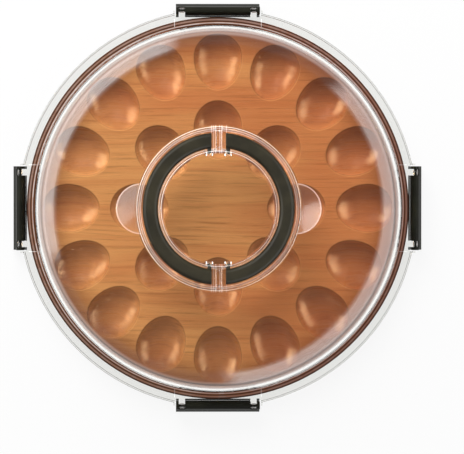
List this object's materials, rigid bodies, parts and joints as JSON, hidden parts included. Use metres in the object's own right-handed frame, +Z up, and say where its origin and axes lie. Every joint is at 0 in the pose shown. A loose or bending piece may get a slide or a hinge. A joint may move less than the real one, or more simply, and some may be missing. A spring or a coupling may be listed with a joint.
{
  "type": "deviled egg carrier",
  "caption": "Round wooden egg tray with egg-shaped wells under a clear lid, which has snap latches round its flange and a pair of half-ring carrying handles in its top.",
  "frame": {"origin": "middle of the footprint, on the surface that the feet stand on", "axes": "+Z up; the handles part along the YZ plane and fold down towards +X and -X; latches at +X, +Y, -X and -Y"},
  "size_m": [0.3546, 0.3546, 0.076],
  "materials": {
    "wood": "oiled satin, straight grain",
    "clear_plastic": "clear, polished",
    "black_plastic": "satin",
    "silicone": "matte"
  },
  "bodies": {
    "tray": {"egg_tray": "wood", "foot_back_right": "silicone", "foot_back_left": "silicone", "foot_front_left": "silicone", "foot_front_right": "silicone"},
    "lid": {"lid": "clear_plastic"},
    "latch_right": {"latch_right": "black_plastic"},
    "latch_back": {"latch_back": "black_plastic"},
    "latch_left": {"latch_left": "black_plastic"},
    "latch_front": {"latch_front": "black_plastic"},
    "handle_right": {"handle_right": "black_plastic"},
    "handle_left": {"handle_left": "black_plastic"}
  },
  "joints": [
    {"name": "lid_lift", "type": "slide", "parent": "tray", "child": "lid", "axis": [0, 0, 1], "range_m": [0, 0.1]},
    {"name": "latch_right_hinge", "type": "hinge", "parent": "lid", "child": "latch_right", "pos_m": [0.1707, 0, 0.0225], "axis": [0, -1, 0], "range_deg": [-11.5, 120]},
    {"name": "latch_back_hinge", "type": "hinge", "parent": "lid", "child": "latch_back", "pos_m": [0, 0.1707, 0.0225], "axis": [1, 0, 0], "range_deg": [-11.5, 120]},
    {"name": "latch_left_hinge", "type": "hinge", "parent": "lid", "child": "latch_left", "pos_m": [-0.1707, 0, 0.0225], "axis": [0, 1, 0], "range_deg": [-11.5, 120]},
    {"name": "latch_front_hinge", "type": "hinge", "parent": "lid", "child": "latch_front", "pos_m": [0, -0.1707, 0.0225], "axis": [-1, 0, 0], "range_deg": [-11.5, 120]},
    {"name": "handle_right_hinge", "type": "hinge", "parent": "lid", "child": "handle_right", "pos_m": [0.00796, 0, 0.07125], "axis": [0, -1, 0], "range_deg": [0, 90]},
    {"name": "handle_left_hinge", "type": "hinge", "parent": "lid", "child": "handle_left", "pos_m": [-0.00796, 0, 0.07125], "axis": [0, 1, 0], "range_deg": [0, 90]}
  ]
}
